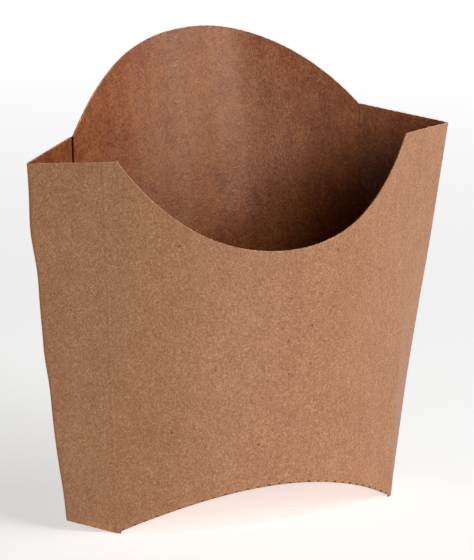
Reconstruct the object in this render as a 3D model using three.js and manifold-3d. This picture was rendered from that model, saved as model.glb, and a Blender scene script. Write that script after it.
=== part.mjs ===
// An empty scoop carton for french fries: one die-cut sheet of brown kraft card, folded and glued.
// Millimetres, +Z up. The scooped front faces -Y and the domed back panel stands at +Y.
//
// The sheet runs from one glue flap round the side, the front with its two ears and the other side
// to the other flap, and the back panel with its dome is glued to the inner face of the flaps.
// The vaulted bottom panel springs from the curved creases of front and back.
import * as THREE from 'three'
import { mergeVertices } from 'three/addons/utils/BufferGeometryUtils.js'
import Module from 'manifold-3d'

// ---------- Driving dimensions ----------

const CARD = 0.5 // thickness of the card
const EDGE = 0.15 // run-out of a cut edge that lies on another layer of card

// Each measure below that is given as { foot, top } changes evenly with height,
// from the foot at z = 0 to the top of the ears.
const EAR_HEIGHT = 97.8 // the outer end of an ear, at the top of the side fold
const SCOOP_END_HEIGHT = 98.5 // the inner end of an ear, where the scoop starts
const BACK_FOOT_HEIGHT = 101.8 // the top of the sides where they meet the back panel

const FRONT_CREASE = { x: { foot: 40.5, top: 45.1 }, y: { foot: -7.4, top: -9.8 } }
const BACK_SEAM = { x: { foot: 40.5, top: 42.3 }, y: { foot: 12, top: 13.3 } }
const FRONT_BULGE = { foot: 12.9, top: 16.4 } // middle of the front panel, ahead of its creases
const BACK_BULGE = { foot: 9, top: 6.4 } // middle of the back panel, behind its seams
const BACK_ROUNDNESS = 2.35 // power of the back panel's bow: 2 is a parabola, more is fuller

// The sheet has sprung open unevenly: the right side is folded tighter at the foot than the left.
// A fold stands on nothing: its foot is lifted, and half way up it bows out or in.
const SIDE_FOLD = {
  lift: 3.1,
  left: { side: -1, x: { foot: 50.6, top: 61.1 }, y: { foot: -0.8, top: 0 }, bow: 0.8 },
  right: { side: 1, x: { foot: 46.4, top: 61.1 }, y: { foot: 3.4, top: 0 }, bow: -0.2 },
}

const SCOOP = { halfWidth: 42.2, depth: 24.8, fullness: 0.32 } // the cut-out of the front panel
const DOME = { height: 22.2, fullness: 0.24 } // the crown of the back panel
const BACK_CURL = { start: 60, atApex: 9.8 } // how far the panel curls back, from this height up
const ARCH_HEIGHT = 11 // rise of the curved bottom creases

const FLAP = { width: 13, taperTop: 9, taperFoot: 7, gapTop: 3, gapFoot: 2 } // the glue flaps
const FLOOR = { lift: 0.2, sideGap: 0.5 } // above the arched edges, and short of their ends

const PANEL_LINES = 16 // upright strips on half of a curved panel
const FLAP_LINES = 4 // upright strips on a glue flap
const SIDE_LINES = 3 // upright strips on each flat side facet
const ROWS = 6 // strips up the walls, between the short edges of the glue flaps
const CROWN_ROWS = 3 // strips from there up to the rim
const FLOOR_ROWS = 3 // strips across the bottom panel
const RIM_PASSES = 6 // rounds that find where a sloping strip meets the rim

// ---------- The walls, level by level ----------

const lerp = (a, b, t) => a + (b - a) * t
const atHeight = (measure, z) => lerp(measure.foot, measure.top, z / EAR_HEIGHT)

// Evenly spread steps from 0 to 1, without the last one unless `closed` is set.
const steps = (count, closed) => Array.from({ length: count + (closed ? 1 : 0) }, (_, i) => i / count)

// Places across half of a curved panel, from its edge (1) to its middle (0).
const FRONT_CORNER = SCOOP.halfWidth / atHeight(FRONT_CREASE.x, SCOOP_END_HEIGHT)
const frontHalf = [1, ...steps(PANEL_LINES, true).map((t) => FRONT_CORNER * (1 - t))]
const FLAP_END = 1 - FLAP.width / BACK_SEAM.x.top
const THIN = EDGE / BACK_SEAM.x.top
const backHalf = [
  ...steps(FLAP_LINES, true).map((t) => lerp(1 - THIN, FLAP_END, t)),
  ...steps(PANEL_LINES - FLAP_LINES, true).map((t) => lerp(FLAP_END - THIN, 0, t)),
]
const mirrored = (half) => [...half.map((t) => -t), ...half.slice(0, -1).reverse()]

const frontPoint = (across, z) => new THREE.Vector2(
  across * atHeight(FRONT_CREASE.x, z),
  atHeight(FRONT_CREASE.y, z) - atHeight(FRONT_BULGE, z) * (1 - across ** 2),
)

// The upper part of the back panel curls back, more and more towards its crown.
const backCurl = (z) => BACK_CURL.atApex
  * Math.max(0, (z - BACK_CURL.start) / (BACK_FOOT_HEIGHT + DOME.height - BACK_CURL.start)) ** 2

const backPoint = (across, z) => new THREE.Vector2(
  across * atHeight(BACK_SEAM.x, z),
  atHeight(BACK_SEAM.y, z)
    + (atHeight(BACK_BULGE, z) + backCurl(z)) * (1 - Math.abs(across) ** BACK_ROUNDNESS),
)

const foldPoint = (fold, z) => new THREE.Vector2(
  fold.side * (atHeight(fold.x, z) + fold.bow * Math.sin(Math.PI * z / EAR_HEIGHT)),
  atHeight(fold.y, z),
)

// ---------- Cut edges ----------

const archHeight = (x) => ARCH_HEIGHT * Math.max(0, 1 - (x / FRONT_CREASE.x.foot) ** 2)

// A rim that falls or rises in a full curve between two corners.
function crown(x, halfWidth, fullness) {
  const t = Math.min(1, Math.abs(x) / halfWidth)
  return (1 - t ** 2) * (1 + fullness * t ** 2)
}

const scoopHeight = (x) => SCOOP_END_HEIGHT - SCOOP.depth * crown(x, SCOOP.halfWidth, SCOOP.fullness)
const domeHeight = (x) => BACK_FOOT_HEIGHT
  + DOME.height * crown(x, atHeight(BACK_SEAM.x, BACK_FOOT_HEIGHT), DOME.fullness)

// The top of an ear rises evenly from the side fold to the start of the scoop.
function earHeight(x) {
  const foldX = SIDE_FOLD.left.x.top
  const inward = (foldX - Math.abs(x)) / (foldX - SCOOP.halfWidth)
  return lerp(EAR_HEIGHT, SCOOP_END_HEIGHT, inward)
}

const frontRim = (x) => (Math.abs(x) > SCOOP.halfWidth ? earHeight(x) : scoopHeight(x))

// The walls slope, so a strip's own x changes on the way up: step up to the rim until it holds.
function meetRim(pointAt, heightOf, start) {
  let z = start
  for (let pass = 0; pass < RIM_PASSES; pass++) {
    z = heightOf(pointAt(z).x)
  }
  return z
}

// ---------- Upright strips, in order round the carton ----------
// A strip has its place at each height and the heights of its ends. `outer` and `inner` tell which
// layers of card it has: that of front, sides and glue flaps, and that of the back panel.

function frontStrips() {
  return mirrored(frontHalf).map((across) => {
    const at = (z) => frontPoint(across, z)
    return { at, low: meetRim(at, archHeight, 0), high: meetRim(at, frontRim, EAR_HEIGHT), outer: true }
  })
}

// From the side fold in to the front crease.
function gussetStrips(fold) {
  return steps(SIDE_LINES, false).map((t) => ({
    at: (z) => foldPoint(fold, z).lerp(frontPoint(fold.side, z), t),
    low: SIDE_FOLD.lift * (1 - t),
    high: lerp(EAR_HEIGHT, earHeight(atHeight(FRONT_CREASE.x, EAR_HEIGHT)), t),
    outer: true,
  }))
}

// From the seam of the back panel out to the side fold.
function sideStrips(fold) {
  return steps(SIDE_LINES, false).map((t) => ({
    at: (z) => backPoint(fold.side, z).lerp(foldPoint(fold, z), t),
    low: SIDE_FOLD.lift * t,
    high: lerp(BACK_FOOT_HEIGHT, EAR_HEIGHT, t),
    outer: true,
  }))
}

// The back panel, with the glue flaps behind its two edges. A flap narrows to its free edge.
function backStrips() {
  return mirrored(backHalf).map((across) => {
    const at = (z) => backPoint(across, z)
    return {
      at,
      low: meetRim(at, archHeight, 0),
      high: meetRim(at, domeHeight, BACK_FOOT_HEIGHT),
      outer: Math.abs(across) > FLAP_END - THIN / 2,
      inner: true,
      taper: Math.min(1, (1 - Math.abs(across)) / (1 - FLAP_END)),
    }
  })
}

function allStrips() {
  const { left, right } = SIDE_FOLD
  return [
    ...sideStrips(left), ...gussetStrips(left), ...frontStrips(),
    ...gussetStrips(right).reverse(), ...sideStrips(right).reverse(), ...backStrips().reverse(),
  ]
}

// ---------- The walls as one closed ring ----------

// The points of a strip, from its foot to its rim. A glue flap starts and ends short of both,
// and the rows of all other strips keep in line with its short edges.
function stripRows({ low, high, outer, inner, taper = 0 }) {
  const from = low + FLAP.gapFoot + FLAP.taperFoot * taper
  const to = Math.min(high, BACK_FOOT_HEIGHT) - FLAP.gapTop - FLAP.taperTop * taper
  const single = (z) => ({ z, outer: outer && !inner })
  const glued = (z) => ({ z, outer })
  return [
    single(low),
    single(from - EDGE),
    ...steps(ROWS, true).map((t) => glued(lerp(from, to, t))),
    ...steps(CROWN_ROWS, true).map((t) => single(lerp(to + EDGE, high, t))),
  ]
}

// A point of strip i at height z, moved off the sheet by `offset`, to the outside of a bend.
function offSheet(strips, i, z, offset) {
  const here = strips[i].at(z)
  const before = strips.at(i - 1).at(z)
  const after = strips[(i + 1) % strips.length].at(z)
  const first = here.clone().sub(before).normalize()
  const second = after.sub(here).normalize()
  const along = first.clone().add(second).normalize()
  const outward = new THREE.Vector2(along.y, -along.x).multiplyScalar(offset / first.dot(along))
  return new THREE.Vector3(here.x + outward.x, here.y + outward.y, z)
}

// Two grids of points, one for each face of the card, joined along their edges.
// Seen from outside the near face, columns follow each other to the right and run up.
function sheet(near, far, ring) {
  const across = near.length
  const up = near[0].length
  const positions = [near, far].flat(2).flatMap((p) => [p.x, p.y, p.z])
  const index = []
  const nearAt = (i, j) => (i % across) * up + j
  const farAt = (i, j) => across * up + nearAt(i, j)
  const quad = (a, b, c, d) => index.push(a, b, c, a, c, d)

  for (let i = 0; i < (ring ? across : across - 1); i++) {
    for (let j = 0; j < up - 1; j++) {
      quad(nearAt(i, j), nearAt(i + 1, j), nearAt(i + 1, j + 1), nearAt(i, j + 1))
      quad(farAt(i, j), farAt(i, j + 1), farAt(i + 1, j + 1), farAt(i + 1, j))
    }
    quad(nearAt(i, 0), farAt(i, 0), farAt(i + 1, 0), nearAt(i + 1, 0))
    quad(nearAt(i, up - 1), nearAt(i + 1, up - 1), farAt(i + 1, up - 1), farAt(i, up - 1))
  }
  const last = across - 1
  for (let j = 0; j < (ring ? 0 : up - 1); j++) {
    quad(nearAt(0, j), nearAt(0, j + 1), farAt(0, j + 1), farAt(0, j))
    quad(nearAt(last, j), farAt(last, j), farAt(last, j + 1), nearAt(last, j + 1))
  }

  const geometry = new THREE.BufferGeometry()
  geometry.setAttribute('position', new THREE.Float32BufferAttribute(positions, 3))
  geometry.setIndex(index)
  return geometry
}

function walls() {
  const strips = allStrips()
  const outerFace = strips.map((strip, i) => stripRows(strip)
    .map((row) => offSheet(strips, i, row.z, row.outer ? CARD : 0)))
  const innerFace = strips.map((strip, i) => stripRows(strip)
    .map((row) => offSheet(strips, i, row.z, strip.inner ? -CARD : 0)))
  return sheet(outerFace, innerFace, true)
}

// The bottom panel is straight from front to back and arched from side to side.
// Its edges end half way through the card of the walls.
function bottomPanel() {
  const halfWidth = FRONT_CREASE.x.foot - FLOOR.sideGap
  const places = mirrored(steps(PANEL_LINES, true).map((t) => 1 - t))
  const face = (rise) => places.map((place) => {
    const x = place * halfWidth
    const z = archHeight(x) + rise
    const front = frontPoint(x / atHeight(FRONT_CREASE.x, z), z).y - CARD / 2
    const back = backPoint(x / atHeight(BACK_SEAM.x, z), z).y - CARD / 2
    return steps(FLOOR_ROWS, true).map((t) => new THREE.Vector3(x, lerp(front, back, t), z))
  })
  return sheet(face(FLOOR.lift + CARD), face(FLOOR.lift), false)
}

// ---------- One solid ----------

const wasm = await Module()
wasm.setup()

function toSolid(geometry) {
  const merged = mergeVertices(geometry)
  return new wasm.Manifold(new wasm.Mesh({
    numProp: 3,
    vertProperties: merged.attributes.position.array,
    triVerts: new Uint32Array(merged.index.array),
  }))
}

function toGeometry(solid) {
  const { vertProperties, triVerts } = solid.getMesh()
  const geometry = new THREE.BufferGeometry()
  geometry.setAttribute('position', new THREE.BufferAttribute(vertProperties, 3))
  geometry.setIndex(new THREE.BufferAttribute(triVerts, 1))
  geometry.computeVertexNormals()
  return geometry
}

const carton = toGeometry(toSolid(walls()).add(toSolid(bottomPanel())))

// The origin is on the ground under the middle of the carton's box.
carton.computeBoundingBox()
const middle = carton.boundingBox.getCenter(new THREE.Vector3())
carton.translate(-middle.x, -middle.y, -carton.boundingBox.min.z)

const kraft = new THREE.MeshStandardMaterial({ color: 0xab815f, roughness: 0.9, metalness: 0 })
const mesh = new THREE.Mesh(carton, kraft)
mesh.name = 'carton'

const scoopCarton = new THREE.Group()
scoopCarton.add(mesh)

export default scoopCarton
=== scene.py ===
"""An empty scoop carton for french fries, folded from one die-cut sheet of brown kraft card.

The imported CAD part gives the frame. This script models the same carton finely: a sleeve with glue
flaps, the domed back panel glued inside them and the vaulted bottom, each of real card thickness.
Lengths are in millimetres, in the CAD part's own axes, until a mesh is written in metres.
"""

import math

import bpy
import numpy as np
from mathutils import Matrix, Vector


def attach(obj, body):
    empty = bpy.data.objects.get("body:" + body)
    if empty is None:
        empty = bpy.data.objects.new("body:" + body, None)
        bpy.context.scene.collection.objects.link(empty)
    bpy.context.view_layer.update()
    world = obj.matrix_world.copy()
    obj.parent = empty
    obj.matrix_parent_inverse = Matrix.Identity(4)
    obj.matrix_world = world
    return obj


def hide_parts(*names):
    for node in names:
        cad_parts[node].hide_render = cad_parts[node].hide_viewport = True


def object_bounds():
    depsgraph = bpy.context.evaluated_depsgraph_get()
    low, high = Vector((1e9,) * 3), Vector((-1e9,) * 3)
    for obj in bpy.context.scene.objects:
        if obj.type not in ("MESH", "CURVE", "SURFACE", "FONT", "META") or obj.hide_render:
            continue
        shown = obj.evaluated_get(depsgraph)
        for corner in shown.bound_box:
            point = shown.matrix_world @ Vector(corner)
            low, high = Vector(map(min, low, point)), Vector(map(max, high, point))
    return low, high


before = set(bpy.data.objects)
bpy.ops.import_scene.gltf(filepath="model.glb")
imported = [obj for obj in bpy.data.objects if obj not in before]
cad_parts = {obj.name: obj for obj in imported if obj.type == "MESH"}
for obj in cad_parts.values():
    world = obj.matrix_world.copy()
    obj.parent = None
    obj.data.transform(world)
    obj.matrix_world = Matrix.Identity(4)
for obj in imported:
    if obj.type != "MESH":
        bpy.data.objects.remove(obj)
cad_low, cad_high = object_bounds()

MM = 0.001

# ---------- Driving dimensions ----------

# They are the CAD source's, apart from the side folds, the dome and the upper ends of the back
# panel, which follow the photo up to 1.2 mm more closely here.

CARD = 0.5  # thickness of the card

EAR_HEIGHT = 97.8  # the outer end of an ear, at the top of the side fold
SCOOP_END_HEIGHT = 98.5  # the inner end of an ear, where the scoop starts
BACK_FOOT_HEIGHT = 101.5  # the top of the sides where they meet the back panel

# Pairs are (at the foot, at EAR_HEIGHT) and change evenly with height.
CREASE_X = (40.5, 45.1)  # front creases
CREASE_Y = (-7.4, -9.8)
SEAM_X = (40.5, 42.8)  # edges of the back panel
SEAM_Y = (12.0, 13.3)
FRONT_BULGE = (12.9, 16.4)
BACK_BULGE = (9.0, 6.4)
BACK_ROUNDNESS = 2.35  # power of the back panel's bow

# The two sides are folded unevenly: by side, left (-1) and right (1).
FOLD_LIFT = {-1: 2.8, 1: 3.1}  # a side fold's foot hangs this high
FOLD_DROP = {-1: 0.3, 1: 0.0}  # a side fold's top is this much lower than the ear's nominal end
FOLD_TOP = {-1: (61.05, 1.2), 1: (61.7, 0.0)}
FOLD_FOOT = {-1: (50.55, 0.4), 1: (47.0, 3.4)}
FOLD_BOW = {-1: (0.82, -0.08), 1: (-0.5, -0.31)}  # one and two half-waves over the height
# Small kinks of a fold: height, reach and how far it stands out.
LEFT_KINKS = ((80, 7, 0.55), (68, 7, -0.4), (48, 5, 0.2), (38, 5, -0.2), (9, 9, -0.38))
FOLD_KINKS = {-1: LEFT_KINKS, 1: ()}

SCOOP_HALF_WIDTH, SCOOP_DEPTH, SCOOP_FULLNESS = 42.2, 24.8, 0.32
DOME_HEIGHT, DOME_FULLNESS = 22.5, 0.24
DOME_INSET = 0.3  # the dome's ends lie this far inside the seams
BACK_RACK = 0.87  # the back panel was glued askew: its right end is this much higher, its left lower
CURL_START, CURL_AT_APEX = 60.0, 9.8
ARCH_HEIGHT = 11.0

FLAP_WIDTH = 13.0
FLAP_GAP_TOP, FLAP_GAP_FOOT = 3.0, 2.0
FLAP_TAPER_TOP, FLAP_TAPER_FOOT = 9.0, 7.0
FLAP_SHOULDER = 1.2  # the flap's short edge leaves the seam over this width

# ---------- Slack of the front and back ----------

# Where the front lies flatter (+) or fuller (-) than an even curve: place and width as shares of
# half the panel's width, and depth.
FRONT_SLACK = ((-0.2, 0.33, 1.0), (0.5, 0.22, -0.5))

# The back bends mostly along one soft upright line. Widths are shares of half the panel's width.
BEND_PLACE, BEND_RADIUS, BEND_DEPTH = 0.29, 0.03, 1.5
BEND_LEFT_WIDTH, BEND_RIGHT_WIDTH, BEND_RIGHT_POWER = 0.25, 0.3, 1.2
# The creases hold the back up to the first height, and it is free from the second.
SLACK_START, SLACK_FULL = 30, 80
# Fine upright ripples of the back: height, and length over 2 pi. One set sways, one leans.
SWAYING_RIPPLE, RIPPLE_SWAY, SWAY_LENGTH = (0.045, 1.9), 0.5, 17
LEANING_RIPPLE, LEAN_LENGTH = (0.03, 1.05), 38

# ---------- Finish of the card ----------

# Between glued layers, before their waves. Those run opposite ways, so the hidden faces stand up
# to 0.2 mm apart or overlap by up to 0.16 mm.
GLUE_GAP = 0.02
SEAM_GAP = 0.4  # the back panel's edge stands off the corner by this much
FOLD_RADIUS = 0.3  # inner radius of the two side folds
SOFT = 1.1  # a weak crease is rounded over this length to each side
BURR = 0.07  # rounding of a cut edge
BOTTOM_FOLD = 0.42  # outer rounding of the creases between walls and bottom
CREASE_RIDGE, CREASE_RIDGE_WIDTH = 0.08, 0.3  # the pressed line along a front crease
# Pressed lines inside, beside a seam: distance from it, height and width.
SEAM_RIDGES = ((0.0, 0.12, 0.3), (2.4, 0.07, 0.5), (4.6, 0.05, 0.5))
# Burrs on the front's rim: x, height and width.
BURRS = ((-42.3, 0.3, 0.35), (-58.7, 0.25, 0.3), (52.6, 0.3, 0.35))

PERFORATION_PITCH, PERFORATION_LENGTH, PERFORATION_DEPTH = 3.1, 1.1, 0.18
PERFORATION_SHARPNESS = 12  # how abruptly a slit ends
PAINTED_SHADE_LEAD = 0.2  # the painted shade of a slit starts this much before its notch

# Unevenness of the sheet. Each wave has its share and two sines that are multiplied. A sine has
# its length over 2 pi along x, y and z, with a sign, and its start.
WAVE = 0.07
ENDLESS = math.inf
WAVES = (
    (1.0, (8.3, ENDLESS, 21, 1.1), (ENDLESS, ENDLESS, 15.7, 0.6)),
    (0.5, (4.1, 5, -9.3, 2.0), (13, ENDLESS, 6.1, 0.0)),
)
# Unevenness of a die-cut edge: shares, radians per mm and starts of its sines.
EDGE_NOISE = 0.03
EDGE_SINES = ((1.0, 5.3, 0.0), (0.7, 11.9, 1.3), (0.6, 23.7, 0.4))

# ---------- Fineness of the meshes ----------

ROWS = 72
COLUMNS = {
    "flap": 14, "seam": 7, "side": 56, "fold": 9,
    "gusset": 48, "crease": 12, "ear": 8, "scoop": 110,
}
BACK_COLUMNS = 150
BACK_CROWDING = 0.8  # up to 1, how closely the columns crowd at the back panel's ends
BACK_NORMAL_SPAN = 1e-2  # the back's direction is read half this share beyond a column
BOTTOM_COLUMNS, BOTTOM_ROWS = 90, 24
SHARP_ANGLE = 38  # degrees: a sharper edge isn't shaded smooth

OUTER, EDGE, INNER, PAINTED_SHADE = range(4)  # finishes, in the order of a piece's material slots; the edge's is partly painted highlight, the last is painted shade

# A column of card is a loop of points: round the outer foot, up the outer face, over the rim, down
# the inner face and back. These are the places of points in it.
FOOT_TURNS = 3
RIM_START = FOOT_TURNS + ROWS  # the outer face's top
INNER_START = RIM_START + 3  # the inner face's top
INNER_END = INNER_START + ROWS


def lerp(a, b, t):
    return a + (b - a) * t


def at_height(measure, z):
    return lerp(measure[0], measure[1], z / EAR_HEIGHT)


def stack(x, y):
    return np.stack(np.broadcast_arrays(x, y), axis=-1)


def hump(across, centre, width):
    return np.exp(-(((across - centre) / width) ** 2))


# ---------- The walls, level by level ----------

SCOOP_CORNER = SCOOP_HALF_WIDTH / at_height(CREASE_X, SCOOP_END_HEIGHT)


def front_slack(across, z):
    """How far the front lies behind an even curve."""
    uneven = sum(depth * hump(across, place, width) for place, width, depth in FRONT_SLACK)
    return uneven * (1 - across**2) * np.sin(np.pi * np.clip(z / SCOOP_END_HEIGHT, 0, 1))


def front_point(across, z):
    bow = at_height(FRONT_BULGE, z) * (1 - across**2) - front_slack(across, z)
    return stack(across * at_height(CREASE_X, z), at_height(CREASE_Y, z) - bow)


def back_curl(z):
    """The upper part of the back panel curls back, more and more towards its crown."""
    full = BACK_FOOT_HEIGHT + DOME_HEIGHT - CURL_START
    return CURL_AT_APEX * np.maximum(0, (z - CURL_START) / full) ** 2


def back_bend(across):
    """The soft upright line, from 0 to 1: a hump to its left, and a sharper fall to its right."""
    beyond = np.sqrt(np.maximum(0, across - BEND_PLACE) ** 2 + BEND_RADIUS**2) - BEND_RADIUS
    left = hump(across, BEND_PLACE, BEND_LEFT_WIDTH)
    right = np.exp(-((beyond / BEND_RIGHT_WIDTH) ** BEND_RIGHT_POWER))
    return np.where(across < BEND_PLACE, left, right)


def back_ripple(x, z):
    height, length = SWAYING_RIPPLE
    swaying = height * np.sin(x / length + RIPPLE_SWAY * np.sin(z / SWAY_LENGTH))
    height, length = LEANING_RIPPLE
    return swaying + height * np.sin(x / length + z / LEAN_LENGTH)


def back_slack(across, z):
    free = np.clip((z - SLACK_START) / (SLACK_FULL - SLACK_START), 0, 1)
    uneven = BEND_DEPTH * back_bend(across) + back_ripple(across * SEAM_X[1], z)
    return free * uneven * (1 - across**2)


def back_point(across, z):
    bow = (at_height(BACK_BULGE, z) + back_curl(z)) * (1 - np.abs(across) ** BACK_ROUNDNESS)
    return stack(across * at_height(SEAM_X, z), at_height(SEAM_Y, z) + bow + back_slack(across, z))


def fold_point(side, z):
    v = z / EAR_HEIGHT
    bow = FOLD_BOW[side][0] * np.sin(np.pi * v) + FOLD_BOW[side][1] * np.sin(2 * np.pi * v)
    kinks = sum(out * hump(z, height, reach) for height, reach, out in FOLD_KINKS[side])
    x = lerp(FOLD_FOOT[side][0], FOLD_TOP[side][0], v) + bow + kinks
    return stack(side * x, lerp(FOLD_FOOT[side][1], FOLD_TOP[side][1], v))


# The CAD part's box is centred on its origin; the apex of the dome is its rearmost point.
APEX_Y = back_point(0.0, np.array([BACK_FOOT_HEIGHT + DOME_HEIGHT]))[0, 1]
SHIFT_Y = cad_high.y / MM - APEX_Y

# ---------- Cut edges ----------


def arch_height(x):
    return ARCH_HEIGHT * np.maximum(0, 1 - (x / CREASE_X[0]) ** 2)


def crown(x, half_width, fullness):
    """A rim that falls or rises in a full curve between two corners, as a share of its depth."""
    t = np.minimum(1, np.abs(x) / half_width)
    return (1 - t**2) * (1 + fullness * t**2)


def fold_height(side):
    return EAR_HEIGHT - FOLD_DROP[side]


def front_rim(side, x):
    scoop = SCOOP_END_HEIGHT - SCOOP_DEPTH * crown(x, SCOOP_HALF_WIDTH, SCOOP_FULLNESS)
    out = (np.abs(x) - SCOOP_HALF_WIDTH) / (FOLD_TOP[side][0] - SCOOP_HALF_WIDTH)
    ear = lerp(SCOOP_END_HEIGHT, fold_height(side), np.clip(out, 0, 1))
    burrs = sum(height * hump(x, place, width) for place, height, width in BURRS)
    return np.where(out > 0, ear, scoop) + burrs


def back_rim(x):
    half_width = at_height(SEAM_X, BACK_FOOT_HEIGHT) - DOME_INSET
    rise = DOME_HEIGHT * crown(x, half_width, DOME_FULLNESS)
    return BACK_FOOT_HEIGHT + rise + BACK_RACK * x / half_width


def side_foot(side, x):
    """The lower edge of gusset and side: it rises from the crease or seam to the fold."""
    out = (np.abs(x) - CREASE_X[0]) / (FOLD_FOOT[side][0] - CREASE_X[0])
    return FOLD_LIFT[side] * np.clip(out, 0, 1)


def flap_edge(side, x, top):
    """The flap's upper or lower short edge: a shoulder near the seam, then a taper."""
    inward = np.maximum(0, SEAM_X[1 if top else 0] - SOFT - np.abs(x))
    gap, taper = (FLAP_GAP_TOP, FLAP_TAPER_TOP) if top else (FLAP_GAP_FOOT, FLAP_TAPER_FOOT)
    shoulder = np.minimum(1, inward / FLAP_SHOULDER)
    cut = gap * shoulder + taper * np.minimum(1, inward / FLAP_WIDTH)
    if top:
        return BACK_FOOT_HEIGHT + BACK_RACK * side - cut
    return arch_height(x) * shoulder + cut


def sleeve_rim(side, stretch, x, top):
    """The height of the sleeve's upper or lower edge."""
    if stretch == "flap":
        return flap_edge(side, x, top)
    if stretch == "seam" and not top:
        return np.zeros_like(x)
    if not top:
        return arch_height(x) if stretch in ("ear", "scoop") else side_foot(side, x)
    if stretch in ("seam", "side"):
        out = np.clip((np.abs(x) - SEAM_X[1]) / (FOLD_TOP[side][0] - SEAM_X[1]), 0, 1)
        return lerp(BACK_FOOT_HEIGHT + BACK_RACK * side, fold_height(side), out)
    if stretch == "fold":
        return np.full_like(x, fold_height(side))
    return front_rim(side, x)


def meet_rim(point_at, rim_at, start):
    """The height where a leaning column meets a rim: a few steps until it holds."""
    z = np.array([float(start)])
    for _ in range(8):
        z = rim_at(point_at(z)[..., 0])
    return z


# ---------- Small reliefs ----------


def wave(x, y, z):
    """The slight unevenness of a folded sheet, as a distance along its normal."""

    def sine(along_x, along_y, along_z, start):
        return np.sin(x / along_x + y / along_y + z / along_z + start)

    return WAVE * sum(share * sine(*first) * sine(*second) for share, first, second in WAVES)


def edge_noise(s):
    return EDGE_NOISE * sum(share * np.sin(rate * s + start) for share, rate, start in EDGE_SINES)


def perforation(s):
    """How far the bottom crease is cut in: short slits at an even pitch along it."""
    place = (s / PERFORATION_PITCH) % 1.0
    half_slit = PERFORATION_LENGTH / PERFORATION_PITCH / 2
    inside = np.clip((half_slit - np.abs(place - 0.5)) * PERFORATION_SHARPNESS, 0, 1)
    return PERFORATION_DEPTH * inside


def crease_ridge(point, side, z):
    distance = np.linalg.norm(point - front_point(side * 1.0, z), axis=-1)
    return CREASE_RIDGE * hump(distance, 0, CREASE_RIDGE_WIDTH)


def seam_ridges(point, side, z):
    """Pressed lines beside a seam; they stand up on the inside."""
    distance = np.linalg.norm(point - back_point(side * 1.0, z), axis=-1)
    return sum(height * hump(distance, place, width) for place, height, width in SEAM_RIDGES)


# ---------- Meshes of card ----------


def unit(v):
    return v / np.linalg.norm(v, axis=-1, keepdims=True)


def outward(point_at, t, direction):
    """Unit normals that point out of the carton, from how point_at moves with t."""
    step = 1e-3
    way = unit(point_at(np.minimum(1, t + step)) - point_at(np.maximum(0, t - step))) * direction
    return stack(way[..., 1], -way[..., 0])


def card_column(low, high, foot_radius):
    """Heights and offsets of a column's points. Offsets run from 0, inside, to CARD, outside."""
    turns = np.linspace(math.pi / 2, 0, FOOT_TURNS, endpoint=False)
    shares = np.linspace(0, 1, ROWS + 1)
    z = np.concatenate([
        low + foot_radius * (1 - np.sin(turns)),
        lerp(low + foot_radius, high - BURR, shares),
        [high, high],
        lerp(high - BURR, low + BURR, shares),
        [low],
    ])
    offset = np.concatenate([
        CARD - foot_radius * (1 - np.cos(turns)),
        np.full(ROWS + 1, CARD),
        [CARD - BURR, BURR],
        np.zeros(ROWS + 1),
        [BURR],
    ])
    return z, offset


def tube(loops):
    """The numbers of the points in a row of loops, and the quads between the loops."""
    here = np.arange(len(loops) * len(loops[0])).reshape(len(loops), -1)
    after = np.roll(here, -1, axis=1)
    return here, np.stack([here[:-1], here[1:], after[1:], after[:-1]], axis=-1).reshape(-1, 4)


def end_caps(here, rings):
    """Faces that close the first and the last loop, from rings of places in a loop."""
    first = [here[0, ring].tolist() for ring in rings]
    return first + [here[-1, ring[::-1]].tolist() for ring in rings]


def write_mesh(name, loops, quads, caps, finish, cap_finish=EDGE):
    """A piece of the carton, in metres, from its loops of points and the finish of each face."""
    mesh = bpy.data.meshes.new(name)
    points = (np.concatenate(loops) + [0, SHIFT_Y, 0]) * MM
    mesh.from_pydata(points.tolist(), [], quads.tolist() + caps)
    finishes = np.concatenate([finish.ravel(), np.full(len(caps), cap_finish)])
    mesh.polygons.foreach_set("material_index", finishes.astype(np.int32))
    mesh.validate()
    piece = bpy.data.objects.new(name, mesh)
    bpy.context.scene.collection.objects.link(piece)
    mesh.shade_smooth()
    mesh.set_sharp_from_angle(angle=math.radians(SHARP_ANGLE))
    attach(piece, "root")
    return piece


def card_mesh(name, columns, cut_feet, slits=(), cap_finish=EDGE):
    """A closed wall of card from its columns. A foot that is cut, not folded, shows an edge."""
    here, quads = tube(columns)
    around = len(columns[0])
    foot = [around - 2, around - 1, *range(FOOT_TURNS + 1)]
    finish = np.full((len(columns) - 1, around), OUTER)
    finish[:, INNER_START:INNER_END] = INNER
    # Rims and cut feet take the cut edge's finish: paler card, partly painted highlight.
    finish[:, RIM_START:INNER_START] = EDGE
    finish[np.ix_(cut_feet[:-1], foot[:-1])] = EDGE
    # At a slit the outer foot takes the painted shade: dark card colour in place of the shadow in
    # the notch.
    for i in slits:
        finish[i, :FOOT_TURNS] = PAINTED_SHADE
    # Point k of the outer face stands opposite point level - k of the inner face.
    level = RIM_START + INNER_START
    rings = [[k, k + 1, level - k - 1, level - k] for k in range(FOOT_TURNS, RIM_START)]
    rings += [[*range(RIM_START, INNER_START + 1)], foot]
    return write_mesh(name, columns, quads, end_caps(here, rings), finish, cap_finish)


# ---------- The sleeve: flap, side, gusset, front, gusset, side, flap ----------


def eased(a, corner, b, t):
    """The point at share t of a curve that rounds a weak corner, from a to b."""
    return (1 - t) ** 2 * a + 2 * t * (1 - t) * corner + t**2 * b


def half_angle(to_a, to_b):
    """The direction midway between two unit directions, and its angle's cosine and sine."""
    middle = unit(to_a + to_b)
    cosine = np.sum(middle * to_a, axis=-1, keepdims=True)
    return middle, cosine, np.sqrt(1 - cosine**2)


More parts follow.
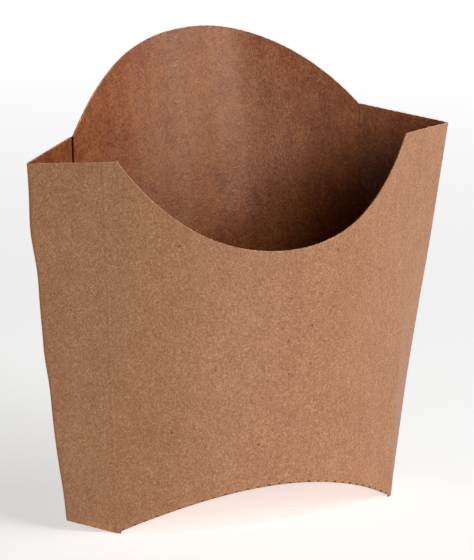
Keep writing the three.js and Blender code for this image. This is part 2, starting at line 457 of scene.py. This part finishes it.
def turned(corner, to_a, to_b, radius, t):
    """The point at share t of the arc that rounds a corner between two unit directions."""
    middle, cosine, sine = half_angle(to_a, to_b)
    centre = corner + middle * radius / sine
    start = corner + to_a * radius * cosine / sine - centre
    end = corner + to_b * radius * cosine / sine - centre
    sweep = np.pi - 2 * np.arcsin(sine)
    return centre + (np.sin((1 - t) * sweep) * start + np.sin(t * sweep) * end) / np.sin(sweep)


def sleeve_point(side, stretch, t, z):
    """A point of the sleeve's inner face, at share t of a stretch of one half and at height z."""
    t = np.broadcast_to(t, z.shape)
    share = t[..., None]
    seam, fold, crease = back_point(side * 1.0, z), fold_point(side, z), front_point(side * 1.0, z)
    back_end = 1 - SOFT / SEAM_X[0]
    front_end = 1 - SOFT / CREASE_X[0]
    if stretch == "flap":
        return back_point(side * lerp(1 - FLAP_WIDTH / SEAM_X[1], back_end, t), z)
    if stretch == "ear":
        return front_point(side * lerp(front_end, SCOOP_CORNER, t), z)
    if stretch == "scoop":
        return front_point(side * SCOOP_CORNER * (1 - t), z)
    after_seam = seam + SOFT * unit(fold - seam)
    before_crease = crease + SOFT * unit(fold - crease)
    if stretch == "seam":
        return eased(back_point(side * back_end, z), seam, after_seam, share)
    if stretch == "crease":
        return eased(before_crease, crease, front_point(side * front_end, z), share)
    to_seam, to_crease = unit(seam - fold), unit(crease - fold)
    if stretch == "fold":
        return turned(fold, to_seam, to_crease, FOLD_RADIUS, share)
    _, cosine, sine = half_angle(to_seam, to_crease)
    reach = FOLD_RADIUS * cosine / sine
    if stretch == "side":
        return lerp(after_seam, fold + reach * to_seam, share)
    return lerp(fold + reach * to_crease, before_crease, share)


def sleeve_column(side, stretch, t, progress):
    """The points of one column, and whether its foot is a cut edge."""
    point_at = lambda z: sleeve_point(side, stretch, t, z)
    rim = lambda top: lambda x: sleeve_rim(side, stretch, x, top)
    low = meet_rim(point_at, rim(False), 0)[0]
    high = meet_rim(point_at, rim(True), EAR_HEIGHT)[0] + edge_noise(progress)
    folded = stretch in ("ear", "scoop")
    if folded:
        low = low + perforation(progress)
    z, offset = card_column(low, high, BOTTOM_FOLD if folded else BURR)
    point = point_at(z)
    normal = outward(lambda s: sleeve_point(side, stretch, s, z), t, -side)
    lift = offset + wave(point[..., 0], point[..., 1], z)
    if stretch in ("gusset", "crease", "ear"):
        lift = lift + crease_ridge(point, side, z)
    if stretch in ("seam", "side"):
        lift = lift - seam_ridges(point, side, z)
    return np.column_stack([point + normal * lift[:, None], z]), not folded


def sleeve():
    stations = [(stretch, k / count) for stretch, count in COLUMNS.items() for k in range(count)]
    left = [(-1, stretch, t) for stretch, t in stations] + [(-1, "scoop", 1.0)]
    right = [(1, stretch, t) for stretch, t in reversed(stations)]
    columns, cut_feet, slits = [], [], []
    progress, last = 0.0, None  # the way along the sheet, at half its height
    for side, stretch, t in left + right:
        middle = sleeve_point(side, stretch, t, np.array([EAR_HEIGHT / 2]))[0]
        progress += 0 if last is None else float(np.linalg.norm(middle - last))
        last = middle
        column, cut = sleeve_column(side, stretch, t, progress)
        # A column at or just before a slit gets a foot of painted shade.
        if not cut and perforation(progress + PAINTED_SHADE_LEAD) > PERFORATION_DEPTH / 2:
            slits.append(len(columns))
        columns.append(column)
        cut_feet.append(cut)
    return card_mesh("carton_sleeve", columns, cut_feet, slits)


# ---------- The back panel ----------


def back_panel():
    """The domed panel, glued inside the flaps. Its cut ends carry painted shade for the dark gaps of
    the seams.
    """
    end = 1 - SEAM_GAP / SEAM_X[1]
    crowding = math.pi / 2 * BACK_CROWDING
    columns = []
    for k in reversed(range(BACK_COLUMNS + 1)):
        across = end * math.sin(crowding * (k / BACK_COLUMNS * 2 - 1)) / math.sin(crowding)
        point_at = lambda z: back_point(across, z)
        low = meet_rim(point_at, arch_height, 0)[0]
        high = meet_rim(point_at, back_rim, BACK_FOOT_HEIGHT)[0] + edge_noise(across * SEAM_X[1])
        z, offset = card_column(low, high, BOTTOM_FOLD)
        point = point_at(z)
        normal = outward(lambda s: back_point(across + BACK_NORMAL_SPAN * s, z), 0.5, -1)
        lift = offset - CARD - GLUE_GAP - wave(point[..., 0], point[..., 1], z)
        lift = lift - seam_ridges(point, math.copysign(1, across), z)
        columns.append(np.column_stack([point + normal * lift[:, None], z]))
    # The caps of the ends take the painted shade finish: a dark line painted into the seams.
    return card_mesh("carton_back", columns, [False] * len(columns), cap_finish=PAINTED_SHADE)


# ---------- The bottom ----------

BOTTOM_INSET = 0.7  # the bottom's ends stop this far short of the arch's
BOTTOM_GAP = 0.05  # between the bottom and the walls, before their waves
BOTTOM_BULGE = 0.25  # the bottom's middle stands up this much more


def bottom_panel():
    """Straight from front to back, arched from side to side, between the two curved creases."""
    half_width = CREASE_X[0] - BOTTOM_INSET
    bulge = BOTTOM_BULGE * np.sin(np.pi * np.linspace(0, 1, BOTTOM_ROWS + 1))
    loops = []
    for k in range(BOTTOM_COLUMNS + 1):
        x = half_width * (2 * k / BOTTOM_COLUMNS - 1)
        faces = []
        for rise in (0.0, CARD):
            z = arch_height(np.array([x])) + rise
            front = front_point(x / at_height(CREASE_X, z), z)[0, 1] + BOTTOM_GAP
            back = back_point(x / at_height(SEAM_X, z), z)[0, 1] - CARD - BOTTOM_GAP
            y = np.linspace(front, back, BOTTOM_ROWS + 1)
            faces.append(np.column_stack([np.full_like(y, x), y, z + bulge]))
        under, top = faces
        loops.append(np.concatenate([under, top[::-1]]))
    here, quads = tube(loops)
    quads = np.roll(quads[:, ::-1], 1, axis=1)  # these loops run the other way round
    last = len(loops[0]) - 1
    rings = [[k, last - k, last - k - 1, k + 1] for k in range(BOTTOM_ROWS)]
    finish = np.full((BOTTOM_COLUMNS, last + 1), OUTER)
    finish[:, BOTTOM_ROWS + 1 : last] = INNER
    return write_mesh("carton_bottom", loops, quads, end_caps(here, rings), finish)


# ---------- Materials ----------

# Each look: the card's mean colour, its gloss, and how strongly each size of grain shows.
# The gloss of kraft card is brownish: sheen is its tint. spread says how far each channel moves
# with the grain: pale spots are greyer, dark ones redder.
GRAIN_SIZES = (0.28, 0.42, 0.65, 1.0, 1.6, 3.0, 6.0, 26.0)  # from fibre ends to clouds, mm
GRAIN_STRETCH = (1, 1, 1, 1, 1.2, 1.6, 2.2, 2.6)  # the coarser grain runs upright
GRAIN_START = (17.3, 9.1, 5.7)  # each grain starts this much further off than the one before, mm
OUTER_LOOK = {
    "colour": (0.425, 0.1945, 0.0965), "roughness": 0.6, "gloss": 0.5, "sheen": (1.0, 0.88, 0.75),
    "grain": (0.39, 0.47, 0.28, 0.17, 0.12, 0.095, 0.105, 0.08), "fibre": 0.13, "bump": 0.15,
    "spread": (0.53, 0.77, 1.0),
}
INNER_LOOK = {
    "colour": (0.31, 0.0805, 0.0206), "roughness": 0.36, "gloss": 0.85, "sheen": (1.0, 0.8, 0.64),
    "grain": (0.64, 0.93, 0.68, 0.5, 0.4, 0.34, 0.45, 0.31), "fibre": 0.2, "bump": 0.34,
    "spread": (0.42, 0.72, 1.0),
}
# Cut edges are paler than the faces; their colour is raised further as painted highlight, so rims
# that lie in shade still show a light line.
EDGE_LOOK = {
    "colour": (0.8, 0.45, 0.27), "roughness": 0.85, "gloss": 0.3, "sheen": (1.0, 0.85, 0.74),
    "grain": (1.0, 0.9, 0.6, 0.5, 0.4, 0.3, 0.2, 0.1), "fibre": 0.1, "bump": 0.5,
    "spread": (0.55, 0.73, 0.95),
}
# Painted shade: near-black card for the perforation's notches and the back panel's cut ends, where
# the real card only lies in shadow.
PAINTED_SHADE_LOOK = dict(INNER_LOOK, colour=(0.08, 0.034, 0.018), gloss=0.1)
BUMP_SHARES, FIBRE_BUMP = (0.4, 0.5, 0.5, 0.5, 0.3, 0, 0, 0), 0.5
BUMP_DISTANCE = 0.12  # height of the relief at full bump, mm
ROUGH_GRAIN, ROUGH_SPREAD = 3, 0.25  # the grain that the roughness follows, and how far
NOISE_ROUGHNESS = 0.6
FIBRE_ANGLES = (12, 71, 128)  # lie of the long fibres, from upright
FIBRE_SIZE = (0.16, 1.6)  # width and length of a long fibre, mm
FIBRE_GAIN = 12.0  # squared noise is weak
# Flecks: spacing and diameter in mm, the share of places that hold one, and its shade.
BARK_FLECKS = (7.0, 0.62, 0.12, -0.6)
PALE_FLECKS = (2.4, 0.24, 0.5, 0.3)
FLECK_SLANT = (0.31, 0.23)  # keeps the flecks of the front off the back
HUE_DRIFT = (6.5, 0.005)  # patches in mm, and how far their hue strays
HUE_AS_IT_IS = 0.5
MIX_DARKEST, MIX_LIGHTEST, MIX_RESULT = 6, 7, 2  # the colour sockets of a mix node


def add(owner, kind, inputs, **settings):
    """A shader node of a material or world, with its settings, values and links."""
    tree = owner.node_tree
    node = tree.nodes.new(kind)
    for key, value in settings.items():
        setattr(node, key, value)
    for key, value in inputs.items():
        if isinstance(value, bpy.types.NodeSocket):
            tree.links.new(value, node.inputs[key])
        else:
            node.inputs[key].default_value = value
    return node


def math_node(material, operation, *values):
    return add(material, "ShaderNodeMath", dict(enumerate(values)), operation=operation).outputs[0]


def scaled(material, coordinates, size, angle=0.0, start=0):
    """Coordinates in units of a grain's size (width, depth, height in mm), tilted about depth."""
    inputs = {
        "Vector": coordinates,
        "Location": [start * step * MM for step in GRAIN_START],
        "Rotation": (0, math.radians(angle), 0),
        "Scale": [s * MM for s in size],
    }
    return add(material, "ShaderNodeMapping", inputs, vector_type="TEXTURE").outputs[0]


def noise(material, vector, detail=0.0):
    """Soft noise of one grain, centred on zero."""
    inputs = {"Vector": vector, "Scale": 1.0, "Detail": detail, "Roughness": NOISE_ROUGHNESS}
    fac = add(material, "ShaderNodeTexNoise", inputs).outputs[0]
    return math_node(material, "SUBTRACT", fac, 0.5)


def weighted_sum(material, terms):
    total = None
    for value, weight in terms:
        if total is None:
            total = math_node(material, "MULTIPLY", value, weight)
        else:
            total = math_node(material, "MULTIPLY_ADD", value, weight, total)
    return total


def fibres(material, coordinates):
    """Long fibres at a few angles: thin bright and dark strokes, the noise's middle damped."""
    strokes = []
    width, length = FIBRE_SIZE
    for angle in FIBRE_ANGLES:
        value = noise(material, scaled(material, coordinates, (width, width, length), angle))
        strength = math_node(material, "MULTIPLY", math_node(material, "ABSOLUTE", value), value)
        strokes.append((strength, FIBRE_GAIN))
    return weighted_sum(material, strokes)


def flecks(material, coordinates, spacing, size, share):
    """One inside a small round fleck, zero elsewhere."""
    x, y, z = add(material, "ShaderNodeSeparateXYZ", {0: coordinates}).outputs
    flat = [
        math_node(material, "MULTIPLY_ADD", y, slant, axis)
        for slant, axis in zip(FLECK_SLANT, (x, z))
    ]
    place = add(material, "ShaderNodeCombineXYZ", {0: flat[0], 1: flat[1]}).outputs[0]
    inputs = {"Vector": place, "Scale": 1 / (spacing * MM)}
    cells = add(material, "ShaderNodeTexVoronoi", inputs, voronoi_dimensions="2D")
    near = math_node(material, "LESS_THAN", cells.outputs["Distance"], size / spacing / 2)
    chance = add(material, "ShaderNodeSeparateColor", {"Color": cells.outputs["Color"]}).outputs[0]
    return math_node(material, "MULTIPLY", near, math_node(material, "LESS_THAN", chance, share))


def kraft(name, look):
    """Kraft card of one look: grain, fibres and flecks set its colour, relief and roughness."""
    material = bpy.data.materials.new(name)
    material.use_nodes = True
    links = material.node_tree.links
    shader = material.node_tree.nodes["Principled BSDF"]
    coordinates = add(material, "ShaderNodeTexCoord", {}).outputs["Object"]

    grains = []
    for k, (size, stretch) in enumerate(zip(GRAIN_SIZES, GRAIN_STRETCH)):
        vector = scaled(material, coordinates, (size, size, size * stretch), start=k)
        grains.append(noise(material, vector))
    long_fibres = fibres(material, coordinates)
    terms = [*zip(grains, look["grain"]), (long_fibres, look["fibre"])]
    for *pattern, shade in (BARK_FLECKS, PALE_FLECKS):
        terms.append((flecks(material, coordinates, *pattern), shade))
    # Squaring makes pale spots as strong to the eye as dark ones. A tone of 1 is the mean colour,
    # halfway between the darkest and the lightest.
    raised = math_node(material, "ADD", weighted_sum(material, terms), 1.0)
    tone = math_node(material, "POWER", raised, 2.0)
    half_tone = math_node(material, "MULTIPLY", tone, 0.5)
    mix = add(material, "ShaderNodeMix", {0: half_tone}, data_type="RGBA", clamp_factor=True)
    for socket, sign in ((MIX_DARKEST, -1), (MIX_LIGHTEST, 1)):
        colour = [c * (1 + sign * k) for c, k in zip(look["colour"], look["spread"])]
        mix.inputs[socket].default_value = (*colour, 1)
    patches = noise(material, scaled(material, coordinates, (HUE_DRIFT[0],) * 3), 1.0)
    hue = math_node(material, "MULTIPLY_ADD", patches, HUE_DRIFT[1], HUE_AS_IT_IS)
    drift_inputs = {"Hue": hue, "Color": mix.outputs[MIX_RESULT]}
    drift = add(material, "ShaderNodeHueSaturation", drift_inputs)
    links.new(drift.outputs[0], shader.inputs["Base Color"])

    height = weighted_sum(material, [*zip(grains, BUMP_SHARES), (long_fibres, FIBRE_BUMP)])
    bump_inputs = {"Height": height, "Strength": look["bump"], "Distance": BUMP_DISTANCE * MM}
    bump = add(material, "ShaderNodeBump", bump_inputs)
    links.new(bump.outputs[0], shader.inputs["Normal"])
    grain = grains[ROUGH_GRAIN]
    rough = math_node(material, "MULTIPLY_ADD", grain, ROUGH_SPREAD, look["roughness"])
    links.new(rough, shader.inputs["Roughness"])
    shader.inputs["Specular IOR Level"].default_value = look["gloss"]
    shader.inputs["Specular Tint"].default_value = (*look["sheen"], 1)
    return material


# In the order of OUTER, EDGE, INNER and the painted shade.
finishes = [
    kraft("kraft_card", OUTER_LOOK),
    kraft("kraft_cut_edge", EDGE_LOOK),
    kraft("kraft_inner", INNER_LOOK),
    kraft("kraft_painted_shade", PAINTED_SHADE_LOOK),
]
pieces = [sleeve(), back_panel(), bottom_panel()]
for piece in pieces:
    for finish in finishes:
        piece.data.materials.append(finish)
    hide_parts("carton")

# ---------- Floor, light and camera ----------

PHOTO_WIDTH, PHOTO_HEIGHT = 474, 560
FOCAL_PIXELS = 5000.0
CAMERA_AZIMUTH, CAMERA_ELEVATION = -28.18, 12.09
CAMERA_DISTANCE = 1301.4
CAMERA_SIDE, CAMERA_RISE = -1.249, -8.476
CAMERA_CLIP = (0.05, 50)  # metres
TARGET_HEIGHT = 70.0
SENSOR = 36.0

FLOOR_RADIUS, FLOOR_ALBEDO = 8.0, 0.85  # metres, and the share of light that it returns
FLOOR_ROUGHNESS, FLOOR_GLOSS = 0.9, 0.2
# The glow before, under and behind the carton, and the stretches in metres over which it changes.
FLOOR_GLOW, FLOOR_GLOW_REACH = (0.4, 0.63, 0.98), ((-0.5, -0.12), (0.2, 1.0))
HORIZON_BAND = (0.057, 0.075)  # sines of the elevations between which the pale horizon fades
HORIZON_GLOW, SKY_GLOW = 0.6, 0.01

LIGHT_TINT = (0.985, 1.0, 0.985)
LIGHT_DISTANCE = 1.4  # metres
LIGHT_TARGET_HEIGHT = 60.0
# Name, azimuth and elevation in degrees, size in metres and power in watts.
SOFT_BOXES = (
    ("key_high", 20, 32, (0.45, 0.45), 4.14),
    ("key_low", 20, 10, (0.45, 0.45), 2.9),
    ("key_right", 35, 20, (0.4, 0.4), 2.62),
    ("top", 30, 55, (0.4, 0.4), 0.65),
    ("side", 58, 44, (0.5, 0.4), 3.1),
)


def toward(azimuth, elevation):
    """The unit vector towards a viewer or light. Azimuth 0 is the front, 90 the right."""
    a, e = math.radians(azimuth), math.radians(elevation)
    return Vector((math.sin(a) * math.cos(e), -math.cos(a) * math.cos(e), math.sin(e)))


def facing(away):
    """The turn of a camera or light that looks back along a direction."""
    return (-away).to_track_quat("-Z", "Y")


def along(owner, vector, direction):
    """How far a vector reaches along a fixed direction."""
    inputs = {0: vector, 1: direction}
    return add(owner, "ShaderNodeVectorMath", inputs, operation="DOT_PRODUCT").outputs["Value"]


def faded(owner, value, reach, ends):
    """A soft change from one end value to the other, while value crosses a reach."""
    (low, high), (first, last) = reach, ends
    inputs = {"Value": value, "From Min": low, "From Max": high, "To Min": first, "To Max": last}
    return add(owner, "ShaderNodeMapRange", inputs, interpolation_type="SMOOTHSTEP").outputs[0]


def make_camera():
    data = bpy.data.cameras.new("camera")
    camera = bpy.data.objects.new("camera", data)
    bpy.context.scene.collection.objects.link(camera)
    back = toward(CAMERA_AZIMUTH, CAMERA_ELEVATION)
    camera.rotation_mode = "QUATERNION"
    camera.rotation_quaternion = facing(back)
    right = camera.rotation_quaternion @ Vector((1, 0, 0))
    up = camera.rotation_quaternion @ Vector((0, 1, 0))
    target = Vector((0, SHIFT_Y, TARGET_HEIGHT))
    offset = CAMERA_DISTANCE * back + CAMERA_SIDE * right + CAMERA_RISE * up
    camera.location = (target + offset) * MM
    data.sensor_width = SENSOR
    data.lens = FOCAL_PIXELS * SENSOR / max(PHOTO_WIDTH, PHOTO_HEIGHT)
    data.clip_start, data.clip_end = CAMERA_CLIP
    bpy.context.scene.camera = camera


def make_floor():
    """A pale table that brightens towards the back, where it runs into the white of the studio."""
    mesh = bpy.data.meshes.new("floor")
    r = FLOOR_RADIUS
    mesh.from_pydata([(-r, -r, 0), (r, -r, 0), (r, r, 0), (-r, r, 0)], [], [(0, 1, 2, 3)])
    floor = bpy.data.objects.new("floor", mesh)
    bpy.context.scene.collection.objects.link(floor)
    material = bpy.data.materials.new("pale_floor")
    material.use_nodes = True
    shader = material.node_tree.nodes["Principled BSDF"]
    shader.inputs["Base Color"].default_value = (*[FLOOR_ALBEDO] * 3, 1)
    shader.inputs["Roughness"].default_value = FLOOR_ROUGHNESS
    shader.inputs["Specular IOR Level"].default_value = FLOOR_GLOSS
    shader.inputs["Emission Color"].default_value = (1, 1, 1, 1)
    coordinates = add(material, "ShaderNodeTexCoord", {}).outputs["Object"]
    behind = along(material, coordinates, -toward(CAMERA_AZIMUTH, 0))
    before, under, far = FLOOR_GLOW
    nearer = faded(material, behind, FLOOR_GLOW_REACH[0], (before, under))
    farther = faded(material, behind, FLOOR_GLOW_REACH[1], (0.0, far - under))
    glow = math_node(material, "ADD", nearer, farther)
    material.node_tree.links.new(glow, shader.inputs["Emission Strength"])
    mesh.materials.append(material)


def make_world():
    """Pale round the horizon, dim overhead, so that the soft boxes shape the light."""
    world = bpy.data.worlds.new("studio")
    world.use_nodes = True
    background = world.node_tree.nodes["Background"]
    background.inputs["Color"].default_value = (1, 1, 1, 1)
    direction = add(world, "ShaderNodeTexCoord", {}).outputs["Generated"]
    height = add(world, "ShaderNodeSeparateXYZ", {0: direction}).outputs[2]
    strength = faded(world, height, HORIZON_BAND, (HORIZON_GLOW, SKY_GLOW))
    world.node_tree.links.new(strength, background.inputs["Strength"])
    bpy.context.scene.world = world


def soft_light(name, azimuth, elevation, size, power):
    data = bpy.data.lights.new(name, "AREA")
    data.shape = "RECTANGLE"
    data.size, data.size_y = size
    data.energy = power
    data.color = LIGHT_TINT
    light = bpy.data.objects.new(name, data)
    bpy.context.scene.collection.objects.link(light)
    away = toward(azimuth, elevation)
    light.location = Vector((0, 0, LIGHT_TARGET_HEIGHT * MM)) + away * LIGHT_DISTANCE
    light.rotation_mode = "QUATERNION"
    light.rotation_quaternion = facing(away)
    light.visible_camera = False


make_camera()
make_floor()
make_world()
for soft_box in SOFT_BOXES:
    soft_light(*soft_box)
bpy.context.scene.view_settings.view_transform = "Standard"
